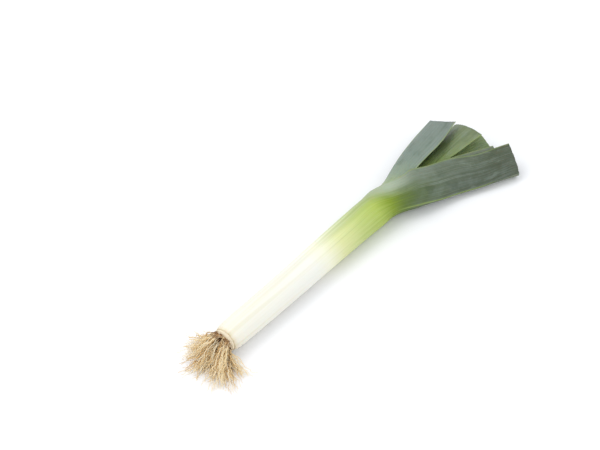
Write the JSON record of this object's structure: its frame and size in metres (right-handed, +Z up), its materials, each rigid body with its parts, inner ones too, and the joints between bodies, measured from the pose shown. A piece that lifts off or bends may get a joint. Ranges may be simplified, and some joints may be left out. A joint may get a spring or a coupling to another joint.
{
  "type": "leek",
  "caption": "Fresh leek lying on its side: white shaft of nested leaf sheaths with a root tuft at one end and folded green leaf blades, cut short, fanning out at the other.",
  "frame": {"origin": "middle of the leek's footprint, on the surface that it lies on", "axes": "+X along the leek from the root end to the cut leaf ends, +Z up from the surface, +Y to the side that the outer back leaf leans to"},
  "size_m": [0.487, 0.171, 0.0426],
  "materials": {
    "outer_leaf": "satin",
    "inner_leaf": "satin",
    "heart_leaf": "satin",
    "root_plate": "matte",
    "roots": "matte"
  },
  "bodies": {
    "root": {"root_plate": "root_plate", "root_bundle_1": "roots", "root_bundle_2": "roots", "root_bundle_3": "roots", "root_bundle_4": "roots", "root_bundle_5": "roots", "root_bundle_6": "roots", "root_bundle_7": "roots", "root_bundle_8": "roots", "outer_front_leaf": "outer_leaf", "outer_back_leaf": "outer_leaf", "second_front_leaf": "inner_leaf", "second_back_leaf": "inner_leaf", "heart_leaf": "heart_leaf"}
  },
  "joints": []
}
